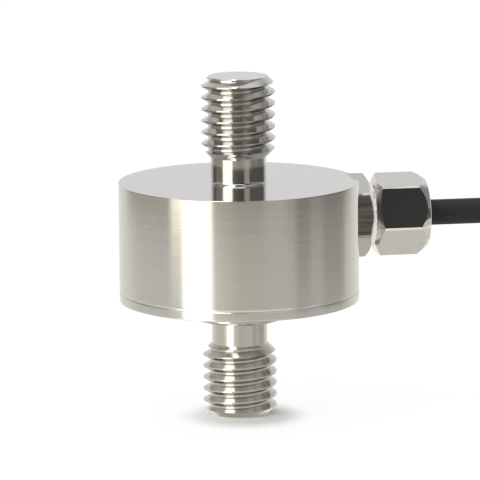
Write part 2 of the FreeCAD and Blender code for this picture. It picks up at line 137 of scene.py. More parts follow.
class Value:
    """A socket of a node tree that adds and multiplies like a number."""

    def __init__(self, tree, socket=None):
        self.tree = tree
        self.socket = socket

    def node(self, kind, settings=None, inputs=None, output=0):
        """A new node with its settings, then its sockets' values or links."""
        made = self.tree.nodes.new(kind)
        for name, setting in (settings or {}).items():
            setattr(made, name, setting)
        for name, value in (inputs or {}).items():
            self.feed(made.inputs[name], value)
        return Value(self.tree, made.outputs[output])

    def feed(self, socket, value):
        """Links a value to a socket, or sets a number or colour on it."""
        if isinstance(value, Value):
            self.tree.links.new(value.socket, socket)
        else:
            socket.default_value = value

    def sum(self, operation, *values):
        """The result of one step of arithmetic."""
        return self.node("ShaderNodeMath", {"operation": operation}, dict(enumerate(values)))

    def ramp(self, start, end):
        """Goes softly from 0 to 1 while this value goes from start to end."""
        settings = {"interpolation_type": "SMOOTHSTEP"}
        inputs = {"Value": self, "From Min": start, "From Max": end}
        return self.node("ShaderNodeMapRange", settings, inputs)

    def __add__(self, other):
        return self.sum("ADD", self, other)

    def __sub__(self, other):
        return self.sum("SUBTRACT", self, other)

    def __rsub__(self, other):
        return self.sum("SUBTRACT", other, self)

    def __mul__(self, other):
        return self.sum("MULTIPLY", self, other)

    __radd__ = __add__
    __rmul__ = __mul__


class Finish:
    """A material under way: its shader, and the object's own coordinates in millimetres."""

    def __init__(self, name, **constants):
        self.material = bpy.data.materials.new(name)
        self.material.use_nodes = True
        tree = self.material.node_tree
        self.values = Value(tree)
        self.shader = tree.nodes["Principled BSDF"]
        self.set(**constants)

    def set(self, **sockets):
        """Sets or links the shader's sockets, named in small letters."""
        for name, value in sockets.items():
            socket = next(s for s in self.shader.inputs if s.name.lower() == name.replace("_", " "))
            self.values.feed(socket, value)

    def place(self, centre=(0, 0, 0), turn=(0, 0, 0), stretch=(1, 1, 1)):
        """A point of the piece in millimetres from a centre, turned and stretched."""
        point = self.values.node("ShaderNodeTexCoord", output=3)
        settings = {"vector_type": "TEXTURE"}
        scale = [mm / share for share in stretch]
        inputs = {"Vector": point, "Location": Vector(centre) * mm, "Rotation": turn, "Scale": scale}
        return self.values.node("ShaderNodeMapping", settings, inputs)

    def axes(self):
        """A point's distances along the piece's own X, Y and Z, in millimetres."""
        point = self.place()
        return [
            self.values.node("ShaderNodeSeparateXYZ", None, {0: point}, output)
            for output in range(3)]

    def noise(self, point, scale, detail=2.0, roughness=0.5):
        """Soft grain of this many spots to a millimetre, about 0.5."""
        inputs = {"Vector": point, "Scale": scale, "Detail": detail, "Roughness": roughness}
        return self.values.node("ShaderNodeTexNoise", None, inputs)

    def blend(self, share, first, second):
        """A colour between two, by a share from 0 to 1."""
        first, second = [
            colour if isinstance(colour, Value) else (*colour, 1) for colour in (first, second)]
        inputs = {0: share, 6: first, 7: second}
        return self.values.node("ShaderNodeMix", {"data_type": "RGBA"}, inputs, output=2)

    def relief(self, height, depth):
        """Raises the surface by a height from 0 to 1 times a depth in millimetres."""
        inputs = {"Height": height, "Distance": depth * mm, "Strength": 1.0}
        self.set(normal=self.values.node("ShaderNodeBump", None, inputs))


jacket_black = (0.014, 0.014, 0.015)
jacket_worn = (0.024, 0.024, 0.025)
jacket = Finish("jacket", ior=1.5, specular_ior_level=0.2)
grain = jacket.noise(jacket.place(), 2.2, 4.0, 0.6)
rubbed = jacket.noise(jacket.place(), 0.18)
jacket.set(base_color=jacket.blend(rubbed, jacket_black, jacket_worn), roughness=0.5 + grain * 0.16)
jacket.relief(grain, 0.02)
cable.data.materials.append(jacket.material)
cable.visible_glossy = False
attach(cable, "root")
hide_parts("cable_lead", "cable_coil", "cable_tail")


# The sensing body
# Stud, membrane and wall turned in one piece from a stainless bar. The chamber is bored from
# below, a seat and a port are milled for the gland, and the stud's thread is cut last.
turned_sides = 128
small_sides = 64
tool_overrun = 1.0
body_radius = 13.0
body_top = 25.5
joint_height = 13.5
neck_radius = 3.0
neck_length = 2.7
neck_fillet = 0.3
fillet_middle = 0.3
neck_ring_gaps = (0.15, 0.03)
stud_radius = 4.0
stud_chamfer = 0.8
thread_pitch = 1.25
thread_turn_sides = 96
thread_depth_share = 0.6134
thread_reach_share = 0.05
thread_flank_angle = 30
upper_stud_top = 37.0
body_top_round = 0.08
body_foot_round = (0.1, 0.4)
chamber_radius = 9.3
pocket_radius = 10.2
ledge_height = 18.4
membrane_height = 23.9
membrane_round = 0.5
hub_radius = 4.5
hub_foot = 15.6
seat_radius = 4.8
seat_start = 12.3
port_radius = 2.55


def only(piece):
    """Makes this piece the only one selected, and active."""
    bpy.ops.object.select_all(action="DESELECT")
    piece.select_set(True)
    bpy.context.view_layer.objects.active = piece


def settle(piece):
    """Puts the object's place, turn and size into its mesh."""
    only(piece)
    bpy.ops.object.transform_apply(location=True, rotation=True, scale=True)
    return piece


def turned(name, outline, sides=turned_sides, open_ends=False):
    """Draws a disc or ring out along an outline of (radius, height), as on a lathe."""
    bpy.ops.object.select_all(action="DESELECT")
    radius, height = outline[0]
    bpy.ops.mesh.primitive_circle_add(
        vertices=sides, radius=radius * mm, location=(0, 0, height * mm),
        fill_type="NOTHING" if open_ends else "NGON")
    piece = bpy.context.object
    piece.name = name
    bpy.ops.object.mode_set(mode="EDIT")
    bpy.ops.mesh.select_all(action="SELECT")
    for next_radius, next_height in outline[1:]:
        rise = (0, 0, (next_height - height) * mm)
        bpy.ops.mesh.extrude_region_move(TRANSFORM_OT_translate={"value": rise})
        widen = next_radius / radius
        centre = (0, 0, next_height * mm)
        bpy.ops.transform.resize(value=(widen, widen, 1), center_override=centre)
        radius, height = next_radius, next_height
    bpy.ops.mesh.select_all(action="SELECT")
    bpy.ops.mesh.normals_make_consistent(inside=False)
    bpy.ops.object.mode_set(mode="OBJECT")
    return settle(piece)


def pick(piece, kind, test):
    """Selects the vertices, edges or faces whose middle, in millimetres, passes a test."""
    only(piece)
    bpy.ops.object.mode_set(mode="EDIT")
    bpy.ops.mesh.select_mode(type={"vertices": "VERT", "edges": "EDGE", "polygons": "FACE"}[kind])
    bpy.ops.mesh.select_all(action="DESELECT")
    bpy.ops.object.mode_set(mode="OBJECT")
    points = piece.data.vertices
    for part in getattr(piece.data, kind):
        numbers = [part.index] if kind == "vertices" else part.vertices
        places = [points[number].co / mm for number in numbers]
        middle = sum(places, Vector()) / len(places)
        part.select = test(middle, places)
    bpy.ops.object.mode_set(mode="EDIT")


def ring_at(radius, height):
    """A test for the edges of one turned ring."""
    def test(middle, places):
        return all(
            abs(place.z - height) < 0.01 and abs(place.xy.length - radius) < 0.01
            for place in places)
    return test


def round_ring(piece, radius, height, width, segments=3):
    """Rounds the corner that a turned piece has at this radius and height."""
    pick(piece, "edges", ring_at(radius, height))
    bpy.ops.mesh.bevel(offset=width * mm, segments=segments, affect="EDGES")
    bpy.ops.object.mode_set(mode="OBJECT")


def machine(piece, tool, operation="DIFFERENCE"):
    """Cuts a piece with a tool, joins the two or keeps what they share; the tool goes."""
    modifier = piece.modifiers.new("machine", "BOOLEAN")
    modifier.operation = operation
    modifier.object = tool
    modifier.solver = "EXACT"
    only(piece)
    bpy.ops.object.modifier_apply(modifier="machine")
    bpy.data.objects.remove(tool)


def cut_thread(piece, crest_radius, pitch, low, high, steps=thread_turn_sides):
    """Cuts a right-hand metric thread: a tapered groove that winds up between two heights."""
    depth = thread_depth_share * pitch
    reach = thread_reach_share * pitch
    root_width = pitch / 6
    mouth_width = root_width + 2 * (depth + reach) * math.tan(math.radians(thread_flank_angle))
    middle = crest_radius - depth / 2 + reach / 2
    bpy.ops.object.select_all(action="DESELECT")
    bpy.ops.mesh.primitive_plane_add(
        size=1, location=(middle * mm, 0, low * mm), rotation=(math.radians(90), 0, 0))
    tool = bpy.context.object
    tool.scale = ((depth + reach) * mm, root_width * mm, 1)
    settle(tool)
    pick(tool, "edges", lambda centre, places: all(place.x > middle for place in places))
    widen = mouth_width / root_width
    bpy.ops.transform.resize(value=(1, 1, widen), center_override=(0, 0, low * mm))
    bpy.ops.mesh.select_all(action="SELECT")
    bpy.ops.mesh.delete(type="ONLY_FACE")
    bpy.ops.object.mode_set(mode="OBJECT")
    winding = tool.modifiers.new("winding", "SCREW")
    winding.angle = math.radians(360)
    winding.screw_offset = pitch * mm
    winding.iterations = math.ceil((high - low) / pitch)
    winding.steps = steps
    winding.render_steps = steps
    bpy.ops.object.modifier_apply(modifier="winding")
    bpy.ops.object.mode_set(mode="EDIT")
    bpy.ops.mesh.select_mode(type="VERT")
    bpy.ops.mesh.select_all(action="DESELECT")
    bpy.ops.mesh.select_non_manifold()
    bpy.ops.mesh.fill_holes(sides=4)
    bpy.ops.mesh.select_all(action="SELECT")
    bpy.ops.mesh.normals_make_consistent(inside=False)
    bpy.ops.object.mode_set(mode="OBJECT")
    machine(piece, tool)


def dowel(radius, low, high):
    """A round tool that lies along the gland, to bore or mill with."""
    tool = turned("dowel", [(radius, low), (radius, high)], small_sides)
    return along_gland(tool)


def along_gland(piece):
    """Lays a piece that was made about Z along the gland's line."""
    piece.rotation_euler = (0, math.radians(90), 0)
    piece.location = (0, 0, gland_height * mm)
    return settle(piece)


def finish_piece(piece, material, slot, *nodes, angle=28):
    """Smooths a piece, gives it its material and hangs it on the part."""
    only(piece)
    bpy.ops.object.shade_smooth_by_angle(angle=math.radians(angle))
    modifier = piece.modifiers.new("flat_faces", "WEIGHTED_NORMAL")
    modifier.keep_sharp = True
    bpy.ops.object.modifier_apply(modifier="flat_faces")
    piece.data.materials.clear()
    piece.data.materials.append(material)
    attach(piece, "root")
    if nodes:
        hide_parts(*nodes)


def stud_outline(shoulder, way, end):
    """A stud from its end face to its shoulder: chamfer, thread, run-out and neck."""
    thread_start = shoulder + way * neck_length
    thread_gap, fillet_gap = neck_ring_gaps
    return [
        (stud_radius - stud_chamfer, end),
        (stud_radius, end - way * stud_chamfer),
        (stud_radius, thread_start + way * (stud_radius - neck_radius)),
        (neck_radius, thread_start),
        (neck_radius, thread_start - way * thread_gap),
        (neck_radius, shoulder + way * (neck_fillet + fillet_gap)),
        (neck_radius, shoulder + way * neck_fillet),
        (neck_radius + fillet_middle * neck_fillet, shoulder + way * fillet_middle * neck_fillet),
        (neck_radius + neck_fillet, shoulder),
    ]


foot_inset, foot_rise = body_foot_round
sensing_body = turned("sensing_body_turned", stud_outline(body_top, 1, upper_stud_top) + [
    (body_radius, body_top),
    (body_radius, joint_height + foot_rise),
    (body_radius - foot_inset, joint_height),
    (pocket_radius, joint_height),
    (pocket_radius, ledge_height),
    (chamber_radius, ledge_height),
    (chamber_radius, membrane_height - membrane_round),
    (chamber_radius - membrane_round, membrane_height),
    (hub_radius + membrane_round, membrane_height),
    (hub_radius, membrane_height - membrane_round),
    (hub_radius, hub_foot),
])
round_ring(sensing_body, body_radius, body_top, body_top_round)
machine(sensing_body, dowel(port_radius, chamber_radius - membrane_round, body_radius + tool_overrun))
machine(sensing_body, dowel(seat_radius, seat_start, body_radius + tool_overrun))
cut_thread(
    sensing_body, stud_radius, thread_pitch,
    body_top + neck_length - tool_overrun, upper_stud_top + tool_overrun)

steel_light = (0.63, 0.625, 0.61)
steel_dark = (0.56, 0.555, 0.54)
flank_shade_brown = (0.40, 0.375, 0.34)
steel = Finish("turned_stainless", metallic=1.0)
x, y, z = steel.axes()
from_axis = steel.values.sum("SQRT", x * x + y * y)
lathe_place = steel.values.node("ShaderNodeCombineXYZ", None, {0: from_axis, 1: z, 2: (x + y) * 0.02})
fine_lines = steel.noise(lathe_place, 9.0, 3.0, 0.65)
broad_lines = steel.noise(lathe_place, 1.6, 2.0)
clouds = steel.noise(steel.place(), 0.3)
# Painted shade: the lower stud's thread flanks and roots, below the crests, are blended towards a dull
# brown, as the grooves look in the shade under the body.
lower_thread_shade = from_axis.ramp(3.95, 3.8) * from_axis.ramp(3.02, 3.1) * z.ramp(7.9, 7.6)
turned_steel = steel.blend(clouds * 0.5 + broad_lines * 0.5, steel_dark, steel_light)
steel.set(
    base_color=steel.blend(lower_thread_shade * 0.3, turned_steel, flank_shade_brown),
    roughness=0.06 + fine_lines * 0.07 + clouds * 0.03)
steel.relief(fine_lines * 0.7 + broad_lines * 0.3, 0.0018)
finish_piece(sensing_body, steel.material, "stainless", "sensing_body")


# The strain gauges and their lead wires
# Four foil gauges on polyimide film, bonded under the membrane round the hub. Two lacquered
# copper wires go from each gauge's tabs down to the board.
film_amber = (0.42, 0.17, 0.02)
film_pale = (0.50, 0.24, 0.05)
film = Finish("gauge_film", ior=1.7, coat_weight=0.4, coat_roughness=0.12)
film_grain = film.noise(film.place(), 6.0, 3.0)
film.set(base_color=film.blend(film_grain, film_amber, film_pale), roughness=0.25 + film_grain * 0.2)
film.relief(film_grain, 0.004)

copper_lacquer = (0.46, 0.15, 0.05)
copper_bright = (0.66, 0.27, 0.11)
lacquered = Finish("lacquered_copper", metallic=0.8, coat_weight=0.5, coat_roughness=0.1)
lacquer_spots = lacquered.noise(lacquered.place(), 8.0)
lacquered.set(
    base_color=lacquered.blend(lacquer_spots, copper_lacquer, copper_bright),
    roughness=0.2 + lacquer_spots * 0.2)


def dress(material, *names):
    """Gives CAD nodes a finish in place of their plain colour."""
    for name in names:
        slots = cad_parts[name].data.materials
        slots.clear()
        slots.append(material)


gauge_numbers = range(1, 5)
dress(film.material, *[f"strain_gauge_{number}" for number in gauge_numbers])
dress(lacquered.material, *[f"gauge_leads_{number}" for number in gauge_numbers])


# The terminal board
# A ring of glass-fibre laminate glued against the ledge. Three chip resistors trim the
# bridge, and each wire ends in a small cone of solder.
laminate_green = (0.02, 0.13, 0.05)
laminate_pale = (0.05, 0.22, 0.09)
laminate = Finish("laminate", ior=1.55, coat_weight=0.3, coat_roughness=0.2)
weave = laminate.values.node(
    "ShaderNodeTexChecker", None, {"Vector": laminate.place(), "Scale": 2.5}, output=1)
mottle = laminate.noise(laminate.place(), 1.2)
laminate.set(
    base_color=laminate.blend(weave * 0.35 + mottle * 0.65, laminate_green, laminate_pale),
    roughness=0.35 + mottle * 0.15)
laminate.relief(weave, 0.004)
dress(laminate.material, "terminal_board")

tin_bright = (0.78, 0.78, 0.77)
tin_dull = (0.60, 0.60, 0.59)
solder = Finish("solder", metallic=1.0)
solder_skin = solder.noise(solder.place(), 3.0, 3.0)
solder.set(
    base_color=solder.blend(solder_skin, tin_dull, tin_bright),
    roughness=0.12 + solder_skin * 0.2)
solder.relief(solder_skin, 0.01)
dress(solder.material, "solder_joints")

chip_black = (0.015, 0.015, 0.017)
chip_worn = (0.05, 0.05, 0.052)
chip = Finish("chip_resistor", ior=1.5)
chip_grain = chip.noise(chip.place(), 9.0)
chip.set(base_color=chip.blend(chip_grain, chip_black, chip_worn), roughness=0.3 + chip_grain * 0.2)
dress(chip.material, *[f"trim_resistor_{number}" for number in range(1, 4)])


# The gland's hexagon
# Nickel-plated brass, milled to a hexagon with chamfered corners. Its front and back flats carry
# painted dark horizontal lines as reflected bands.
# Its threaded shank goes into the wall, and a threaded spigot takes the nut.
hexagon_sides = 6
across_corners = 9.24
corner_radius = 4.55
face_radius = 3.4
chamfer_slope = math.tan(math.radians(30))
corner_chamfer = (corner_radius - face_radius) * chamfer_slope
edge_break = 0.06
hexagon_end = 14.4
hexagon_turn = 9.0
shank_radius = 2.5
shank_end = 9.6
shank_pitch = 0.5
shank_thread = (shank_end - 0.5, seat_start + 0.1)
o_ring_width = 1.0
o_ring_depth = 0.6
groove_overrun = 0.1
spigot_radius = 3.0
spigot_end = 18.6
spigot_chamfer = 0.25
spigot_pitch = 0.75
spigot_thread = (hexagon_end - 0.2, spigot_end + 0.8)
small_thread_sides = 48
gland_bore = 1.5
seal_pocket_radius = 2.3
seal_start = 15.4


def hexagon(name, low, high, turn):
    """A hexagonal bar about Z between two heights."""
    bpy.ops.object.select_all(action="DESELECT")
    bpy.ops.mesh.primitive_circle_add(
        vertices=hexagon_sides, radius=across_corners / 2 * mm, fill_type="NGON",
        location=(0, 0, low * mm), rotation=(0, 0, math.radians(30 - turn)))
    bar = bpy.context.object
    bar.name = name
    bpy.ops.object.mode_set(mode="EDIT")
    bpy.ops.mesh.select_all(action="SELECT")
    bpy.ops.mesh.extrude_region_move(TRANSFORM_OT_translate={"value": (0, 0, (high - low) * mm)})
    bpy.ops.mesh.select_all(action="SELECT")
    bpy.ops.mesh.normals_make_consistent(inside=False)
    bpy.ops.object.mode_set(mode="OBJECT")
    return settle(bar)


def break_edges(piece, width):
    """Rounds every sharp edge a little, as tumbling and plating leave it."""
    modifier = piece.modifiers.new("edges", "BEVEL")
    modifier.width = width * mm
    modifier.segments = 2
    modifier.limit_method = "ANGLE"
    modifier.angle_limit = math.radians(25)
    only(piece)
    bpy.ops.object.modifier_apply(modifier="edges")


gland_hexagon = hexagon("gland_hexagon", seat_start, hexagon_end, hexagon_turn)
machine(gland_hexagon, turned("blank", [
    (corner_radius, seat_start),
    (corner_radius, hexagon_end - corner_chamfer),
    (face_radius, hexagon_end),
]), "INTERSECT")
break_edges(gland_hexagon, edge_break)
stem = turned("stem", [
    (shank_radius - spigot_chamfer, shank_end),
    (shank_radius, shank_end + spigot_chamfer),
    (shank_radius, seat_start + o_ring_depth),
    (spigot_radius, seat_start + o_ring_depth),
    (spigot_radius, spigot_end - spigot_chamfer),
    (spigot_radius - spigot_chamfer, spigot_end),
], small_sides)
cut_thread(stem, spigot_radius, spigot_pitch, *spigot_thread, small_thread_sides)
cut_thread(stem, shank_radius, shank_pitch, *shank_thread, small_thread_sides)
machine(gland_hexagon, turned("groove", [
    (shank_radius + o_ring_width, seat_start - groove_overrun),
    (shank_radius + o_ring_width, seat_start + o_ring_depth),
], small_sides))
machine(gland_hexagon, stem, "UNION")
machine(gland_hexagon, turned("bore", [
    (gland_bore, shank_end - tool_overrun),
    (gland_bore, seal_start),
    (seal_pocket_radius, seal_start),
    (seal_pocket_radius, spigot_end + tool_overrun),
], small_sides))
along_gland(gland_hexagon)

nickel_light = (0.78, 0.77, 0.75)
nickel_dark = (0.71, 0.70, 0.68)
painted_reflection_grey = (0.26, 0.255, 0.25)
nickel = Finish("nickel_plate", metallic=1.0)
plate_clouds = nickel.noise(nickel.place(), 0.7, 2.0)
plate_grain = nickel.noise(nickel.place(), 5.0, 3.0)
outwards, sideways, _ = nickel.axes()
# Painted reflection: the hexagon's front and back flats get dark grey horizontal lines, standing in
# for the bands of the room they mirror.
on_front_and_back_flats = sideways.sum("ABSOLUTE", sideways).ramp(3.55, 3.75) * outwards.ramp(14.5, 14.45)
painted_reflection_lines = nickel.noise(nickel.place(stretch=(0.04, 0.04, 1)), 2.8, 3.0).ramp(0.62, 0.36)
plated = nickel.blend(plate_clouds, nickel_dark, nickel_light)
nickel.set(
    base_color=nickel.blend(on_front_and_back_flats * painted_reflection_lines * 0.75, plated, painted_reflection_grey),
    roughness=0.05 + plate_grain * 0.06)
nickel.relief(plate_clouds * 0.7 + plate_grain * 0.3, 0.003)
finish_piece(gland_hexagon, nickel.material, "nickel", "gland_body")


# The gland's seals
# An O-ring lies between hexagon and seat. A rubber bush closes on the cable as the nut
# presses it through a brass ring.
seal_end = 18.9
seal_chamfer = 0.3
washer_end = 19.3
washer_radius = 2.8
cable_radius = 1.4
jacket_start = 9.9

rubber_black = (0.02, 0.02, 0.02)
rubber_pale = (0.045, 0.045, 0.045)
rubber = Finish("seal_rubber", ior=1.5)
rubber_bloom = rubber.noise(rubber.place(), 2.5, 3.0)
rubber.set(
    base_color=rubber.blend(rubber_bloom, rubber_black, rubber_pale),
    roughness=0.6 + rubber_bloom * 0.2)
rubber.relief(rubber_bloom, 0.01)


def turned_ring(name, outline):
    """A ring about Z from a closed outline, as on a lathe."""
    ring = turned(name, outline + outline[:1], small_sides, open_ends=True)
    bpy.ops.object.mode_set(mode="EDIT")
    bpy.ops.mesh.select_all(action="SELECT")
    bpy.ops.mesh.remove_doubles(threshold=0.001 * mm)
    bpy.ops.mesh.normals_make_consistent(inside=False)
    bpy.ops.object.mode_set(mode="OBJECT")
    return ring


bpy.ops.object.select_all(action="DESELECT")
bpy.ops.mesh.primitive_torus_add(
    major_segments=small_sides, minor_segments=16,
    major_radius=(shank_radius + o_ring_width / 2) * mm, minor_radius=o_ring_width / 2 * mm)
o_ring = bpy.context.object
o_ring.name = "o_ring_moulded"
o_ring.scale.z = o_ring_depth / o_ring_width
settle(o_ring)
o_ring.location.z = (seat_start + o_ring_depth / 2) * mm
settle(o_ring)
finish_piece(along_gland(o_ring), rubber.material, "seal_rubber", "gland_o_ring", angle=60)

seal = turned_ring("seal_bush", [
    (cable_radius, seal_start),
    (seal_pocket_radius - seal_chamfer, seal_start),
    (seal_pocket_radius, seal_start + seal_chamfer),
    (seal_pocket_radius, seal_end - seal_chamfer),
    (seal_pocket_radius - seal_chamfer, seal_end),
    (cable_radius, seal_end),
])
finish_piece(along_gland(seal), rubber.material, "seal_rubber", "gland_seal")

gland_cable = turned(
    "cable_through_gland", [(cable_radius, jacket_start), (cable_radius, nut_end)], small_sides)
finish_piece(along_gland(gland_cable), jacket.material, "jacket", "cable_in_gland")

brass_bright = (0.76, 0.56, 0.24)
brass_dull = (0.60, 0.42, 0.17)
brass = Finish("washer_brass", metallic=1.0)
brass_grain = brass.noise(brass.place(), 4.0, 3.0)
brass.set(
    base_color=brass.blend(brass_grain, brass_dull, brass_bright),
    roughness=0.2 + brass_grain * 0.15)
washer = turned_ring("washer_ring", [
    (gland_bore, seal_end),
    (washer_radius, seal_end),
    (washer_radius, washer_end),
    (gland_bore, washer_end),
])
finish_piece(along_gland(washer), brass.material, "washer_brass", "gland_washer")


# The gland's nut
# Nickel-plated brass cap nut. It is chamfered towards the hexagon, drawn in to a cone where
# the cable comes out, and bored plain inside, where the real nut is threaded.
nut_start = 14.6
nut_turn = 18.0
nut_cone = 1.2
nut_cone_slope = math.tan(math.radians(35))
nut_end_round = 0.35
nut_end_middle = 0.1
nut_edge_break = 0.1
nut_inner_end = 19.3
nut_thread_radius = 3.05
nut_mouth_chamfer = 0.25
cone_end_radius = corner_radius - (nut_cone - nut_end_round) * nut_cone_slope

gland_nut = hexagon("gland_nut_milled", nut_start, nut_end, nut_turn)
machine(gland_nut, turned("blank", [
    (face_radius, nut_start),
    (corner_radius, nut_start + corner_chamfer),
    (corner_radius, nut_end - nut_cone),
    (cone_end_radius, nut_end - nut_end_round),
    (cone_end_radius - nut_end_middle, nut_end - nut_end_middle),
    (cone_end_radius - nut_end_round, nut_end),
]), "INTERSECT")
break_edges(gland_nut, nut_edge_break)
machine(gland_nut, turned("hollow", [
    (nut_thread_radius, nut_start - tool_overrun),
    (nut_thread_radius, nut_inner_end),
    (gland_bore, nut_inner_end),
    (gland_bore, nut_end - nut_mouth_chamfer),
    (gland_bore + nut_mouth_chamfer, nut_end),
    (gland_bore + nut_mouth_chamfer, nut_end + tool_overrun),
], small_sides))
along_gland(gland_nut)
finish_piece(gland_nut, nickel.material, "nickel", "gland_nut")

# The wall and the plate mirror the room alone, without the gland
for piece in (gland_hexagon, o_ring, seal, gland_cable, washer, gland_nut):
    piece.visible_glossy = False


# The cores inside the body
# Four tinned copper cores in coloured insulation and the shield's bare drain wire, from the
# jacket's end down to their solder joints on the board.
core_colours = {
    "red": (0.45, 0.012, 0.01),
    "black": (0.012, 0.012, 0.012),
    "green": (0.01, 0.18, 0.04),
    "white": (0.72, 0.71, 0.68),
}
core_finishes = {}
for colour, shade in core_colours.items():
    insulation = Finish(f"core_{colour}", ior=1.46)
    core_grain = insulation.noise(insulation.place(), 3.0, 3.0)
    insulation.set(
        base_color=insulation.blend(core_grain, [0.8 * part for part in shade], shade),
        roughness=0.35 + core_grain * 0.15)
    insulation.relief(core_grain, 0.008)
    core_finishes[colour] = insulation
    dress(insulation.material, f"core_{colour}")

tinned = Finish("tinned_wire", metallic=1.0)
tinned_grain = tinned.noise(tinned.place(), 7.0, 3.0)
tinned.set(
    base_color=tinned.blend(tinned_grain, tin_dull, tin_bright),
    roughness=0.18 + tinned_grain * 0.2)
tinned.relief(tinned_grain, 0.006)
dress(tinned.material, "drain_wire")


# The base plate
# Lower stud, boss, rim and centring spigot turned in one piece from the same bar. It closes
# the chamber from below and carries the lower thread.
boss_radius = 5.0
boss_bottom = 10.5
boss_chamfer = 0.2
base_bottom = 12.5
base_edge_round = 0.18
rim_break = 0.05
base_spigot_radius = 10.15
base_spigot_top = 15.5

base_plate = turned("base_plate_turned", stud_outline(boss_bottom, -1, 0.0) + [
    (boss_radius - boss_chamfer, boss_bottom),
    (boss_radius, boss_bottom + boss_chamfer),
    (boss_radius, base_bottom),
    (body_radius, base_bottom),
    (body_radius, joint_height - rim_break),
    (body_radius - rim_break, joint_height),
    (base_spigot_radius, joint_height),
    (base_spigot_radius, base_spigot_top),
])
round_ring(base_plate, body_radius, base_bottom, base_edge_round)
cut_thread(
    base_plate, stud_radius, thread_pitch, -tool_overrun, boss_bottom - neck_length + tool_overrun)
finish_piece(base_plate, steel.material, "stainless", "base_plate")


# The weld
# A laser weld runs round the joint between wall and base plate. It is a narrow bead of
# overlapping spots, ground no further than the wall's own width.
weld_radius = 12.9
weld_bead_radius = 0.06
weld_spots = 360
weld_segments_to_spot = 3
weld_dip = 0.01
weld_tolerance = 0.1

bpy.ops.object.select_all(action="DESELECT")
bpy.ops.mesh.primitive_torus_add(
    major_segments=weld_spots * weld_segments_to_spot, minor_segments=10,
    major_radius=weld_radius * mm, minor_radius=weld_bead_radius * mm,
    location=(0, 0, joint_height * mm))
weld = settle(bpy.context.object)
weld.name = "weld_bead"


def between_spots(middle, places):
    """The rings of the bead where one weld spot overlaps the next."""
    step = math.degrees(math.atan2(middle.y, middle.x)) % (360 / weld_spots)
    return min(step, 360 / weld_spots - step) < weld_tolerance


pick(weld, "vertices", between_spots)
bpy.ops.transform.shrink_fatten(value=-weld_dip * mm)
bpy.ops.object.mode_set(mode="OBJECT")

weld_metal = Finish("weld_metal", metallic=1.0)
weld_grain = weld_metal.noise(weld_metal.place(), 4.0, 3.0)
weld_metal.set(
    base_color=weld_metal.blend(weld_grain, steel_dark, steel_light),
    roughness=0.12 + weld_grain * 0.16)
finish_piece(weld, weld_metal.material, "stainless", angle=60)


# The coil's two ties
# Flat plastic ties with a wire inside, bent round the bundle of turns. Their ends are twisted
# together and stand out from the coil.
tie_thickness = 0.5
tie_width = 3.0
tie_angles = {"near": 225, "far": 45}
bundle_radius = 14.8
bundle_width = 12.6
bundle_height = 16.8
tie_corner = 2.2
tie_edge_round = 0.1
twist_start = (20.7, 0, coil_top_line + 1)
twist_lean = 45
twist_length = 5.2
twist_steps = 12
twist_step_turn = 40
twist_width = 1.1

tie_white = (0.70, 0.70, 0.68)
tie_grey = (0.58, 0.58, 0.56)
plastic = Finish("tie_plastic", ior=1.46, specular_ior_level=0.4)
plastic_grain = plastic.noise(plastic.place(), 1.5, 3.0)
plastic.set(
    base_color=plastic.blend(plastic_grain, tie_grey, tie_white),
    roughness=0.4 + plastic_grain * 0.2)
plastic.relief(plastic_grain, 0.02)


def tie_band():
    """The flat band round the bundle: four sides of a box, rounded and thickened."""
    bpy.ops.object.select_all(action="DESELECT")
    middle_height = bundle_height / 2 + tie_thickness
    bpy.ops.mesh.primitive_cube_add(size=1, location=(bundle_radius * mm, 0, middle_height * mm))
    band = bpy.context.object
    band.scale = [(side + tie_thickness) * mm for side in (bundle_width, 0, bundle_height)]
    band.scale.y = tie_width * mm
    settle(band)
    pick(band, "polygons", lambda middle, places: abs(middle.y) > 0.4 * tie_width)
    bpy.ops.mesh.delete(type="FACE")
    bpy.ops.object.mode_set(mode="OBJECT")
    pick(band, "edges", lambda middle, places: abs(places[0].y - places[1].y) > 0.5 * tie_width)
    bpy.ops.mesh.bevel(offset=tie_corner * mm, segments=6, affect="EDGES")
    bpy.ops.object.mode_set(mode="OBJECT")
    shell = band.modifiers.new("shell", "SOLIDIFY")
    shell.thickness = tie_thickness * mm
    shell.offset = 0
    bpy.ops.object.modifier_apply(modifier="shell")
    break_edges(band, tie_edge_round)
    return band


def tie_twist():
    """The twisted ends: a flat strip drawn out and turned step by step."""
    bpy.ops.object.select_all(action="DESELECT")
    bpy.ops.mesh.primitive_plane_add(size=1)
    strip = bpy.context.object
    strip.scale = (twist_width * mm, tie_thickness * mm, 1)
    settle(strip)
    bpy.ops.object.mode_set(mode="EDIT")
    bpy.ops.mesh.select_all(action="SELECT")
    for step in range(twist_steps):
        rise = (0, 0, twist_length / twist_steps * mm)
        bpy.ops.mesh.extrude_region_move(TRANSFORM_OT_translate={"value": rise})
        bpy.ops.transform.rotate(
            value=math.radians(twist_step_turn), orient_axis="Z", center_override=(0, 0, 0))
    bpy.ops.mesh.select_all(action="SELECT")
    bpy.ops.mesh.normals_make_consistent(inside=False)
    bpy.ops.object.mode_set(mode="OBJECT")
    strip.rotation_euler = (0, math.radians(twist_lean), 0)
    strip.location = Vector(twist_start) * mm
    return settle(strip)


def join(pieces):
    """Makes several meshes one piece."""
    only(pieces[0])
    for piece in pieces:
        piece.select_set(True)
    bpy.ops.object.join()
    return pieces[0]


on_the_cable = []
for place, angle in tie_angles.items():
    tie = join([tie_band(), tie_twist()])
    tie.name = f"tie_{place}"
    tie.rotation_euler = (0, 0, math.radians(angle))
    tie.location = Vector((*coil_centre, 0)) * mm
    settle(tie)
    finish_piece(tie, plastic.material, "tie", f"coil_tie_{place}")
    on_the_cable.append(tie)


